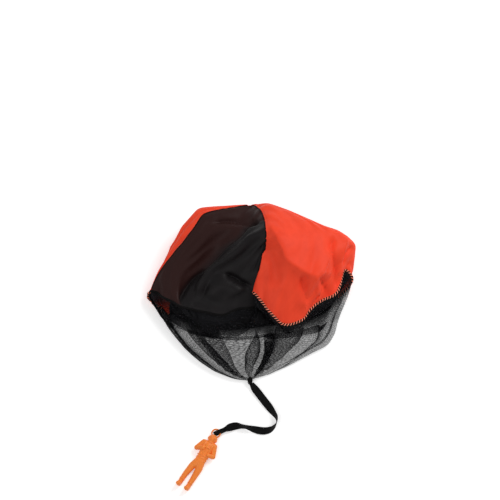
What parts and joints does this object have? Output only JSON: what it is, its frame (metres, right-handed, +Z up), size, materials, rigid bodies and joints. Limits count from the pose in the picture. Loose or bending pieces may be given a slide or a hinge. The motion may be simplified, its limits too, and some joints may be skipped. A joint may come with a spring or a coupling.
{
  "type": "hand-thrown toy parachute with net skirt and moulded jumper",
  "caption": "Toy parachute in orange and black nylon quarters, with a black tulle skirt gathered to a knot, a webbing strap and an orange soft-plastic jumper",
  "frame": {"origin": "on the table, at the flat underside of the lower black panel, under the middle of the canopy", "axes": "+X to the right in the picture, +Y from the knot to the crown of the canopy, +Z up from the table"},
  "size_m": [0.3028, 0.4218, 0.0918],
  "materials": {
    "orange_nylon": "thin slick parachute nylon, softly glossy",
    "black_nylon": "thin slick parachute nylon, softly glossy",
    "black_thread": "overlock and tacking thread",
    "black_tulle": "fine see-through net",
    "black_webbing": "flat woven webbing, slight sheen",
    "orange_plastic": "soft moulded vinyl, satin"
  },
  "bodies": {
    "canopy": {"canopy_black_top": "black_nylon", "canopy_orange_top": "orange_nylon", "canopy_black_under": "black_nylon", "canopy_orange_under": "orange_nylon", "seam_left": "black_thread", "seam_top": "black_thread", "seam_right": "black_thread", "seam_under": "black_thread", "rim_overlock": "black_thread", "net_skirt": "black_tulle"},
    "tie": {"apex_knot": "black_thread"},
    "strap": {"strap": "black_webbing", "strap_end_loop": "black_webbing", "loop_tack": "black_thread"},
    "jumper": {"jumper": "orange_plastic"}
  },
  "joints": [
    {"name": "knot_swing", "type": "hinge", "parent": "canopy", "child": "tie", "pos_m": [0, -0.147, 0.0045], "axis": [0, 0, 1], "range_deg": [-35, 35]},
    {"name": "strap_lift", "type": "hinge", "parent": "tie", "child": "strap", "pos_m": [0, -0.147, 0.0045], "axis": [-1, 0, 0], "range_deg": [0, 60]},
    {"name": "jumper_swing", "type": "hinge", "parent": "strap", "child": "jumper", "pos_m": [-0.043, -0.22368, 0.0036], "axis": [-0.4067, 0.9135, 0], "range_deg": [-80, 80]}
  ]
}
